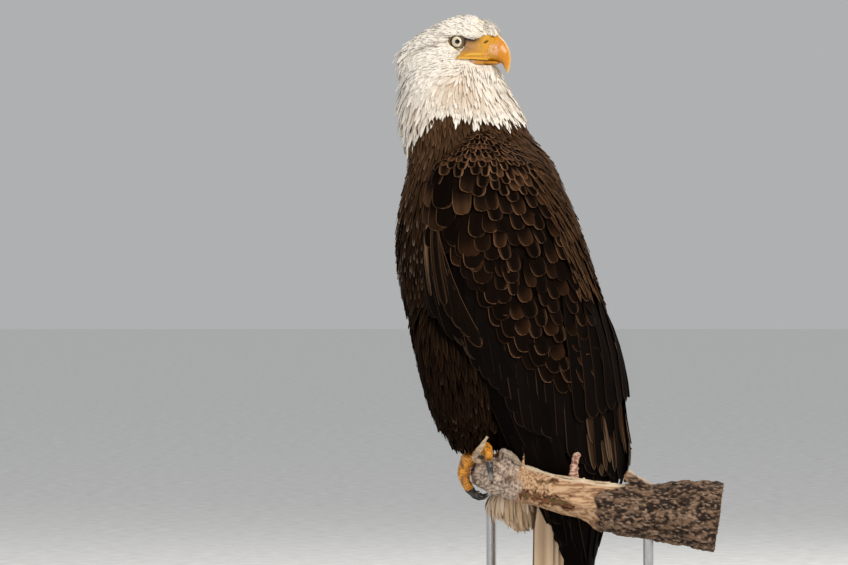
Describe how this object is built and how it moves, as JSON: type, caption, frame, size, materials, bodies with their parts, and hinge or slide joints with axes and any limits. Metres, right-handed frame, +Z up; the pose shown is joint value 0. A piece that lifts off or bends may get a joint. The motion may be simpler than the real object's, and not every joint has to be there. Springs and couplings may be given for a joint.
{
  "type": "bald eagle model on a perch and display stand",
  "caption": "Life-size still adult bald eagle with its head turned back over the shoulder, on a cut length of branch held by a plain display stand.",
  "frame": {"origin": "middle of the underside of the stand's base", "axes": "+Z up; the bird's breast faces -Y and its left side is +X; its head is turned back to face +Y and a little +X"},
  "size_m": [0.3073, 0.4365, 0.8635],
  "materials": {
    "white_plumage": "soft white pointed feathers with warm shading",
    "cream_plumage": "cream feathers with fawn streaks",
    "brown_plumage": "dark brown feathers with paler fringes",
    "dark_flight_feathers": "long blackish-brown flight feathers",
    "bill_yellow": "smooth yellow horn, a little worn and flaky",
    "cere_yellow": "smooth waxy yellow skin",
    "foot_yellow": "yellow scaled skin",
    "claw_black": "smooth black horn",
    "eye": "wet pale yellow eye with a black pupil",
    "branch_wood": "bare weathered wood, then flaky grey-brown bark",
    "stand_base": "satin dark plate",
    "stand_rod": "brushed steel rod"
  },
  "bodies": {
    "root": {"bill_lower": "bill_yellow", "bill_upper": "bill_yellow", "cere": "cere_yellow", "claw_left_hind": "claw_black", "claw_left_inner": "claw_black", "claw_left_middle": "claw_black", "claw_left_outer": "claw_black", "claw_right_hind": "claw_black", "claw_right_inner": "claw_black", "claw_right_middle": "claw_black", "claw_right_outer": "claw_black", "eye_left": "eye", "eye_right": "eye", "head": "white_plumage", "neck": "white_plumage", "perch_branch": "branch_wood", "stand_base": "stand_base", "stand_rod_back": "stand_rod", "stand_rod_front": "stand_rod", "tail": "cream_plumage", "tarsus_left": "foot_yellow", "tarsus_right": "foot_yellow", "thigh_left": "brown_plumage", "thigh_right": "brown_plumage", "toe_left_hind": "foot_yellow", "toe_left_inner": "foot_yellow", "toe_left_middle": "foot_yellow", "toe_left_outer": "foot_yellow", "toe_right_hind": "foot_yellow", "toe_right_inner": "foot_yellow", "toe_right_middle": "foot_yellow", "toe_right_outer": "foot_yellow", "trunk": "brown_plumage", "undertail_coverts": "cream_plumage", "wing_left_coverts": "brown_plumage", "wing_left_primaries": "dark_flight_feathers", "wing_left_secondaries": "dark_flight_feathers", "wing_right_coverts": "brown_plumage", "wing_right_primaries": "dark_flight_feathers", "wing_right_secondaries": "dark_flight_feathers"}
  },
  "joints": []
}
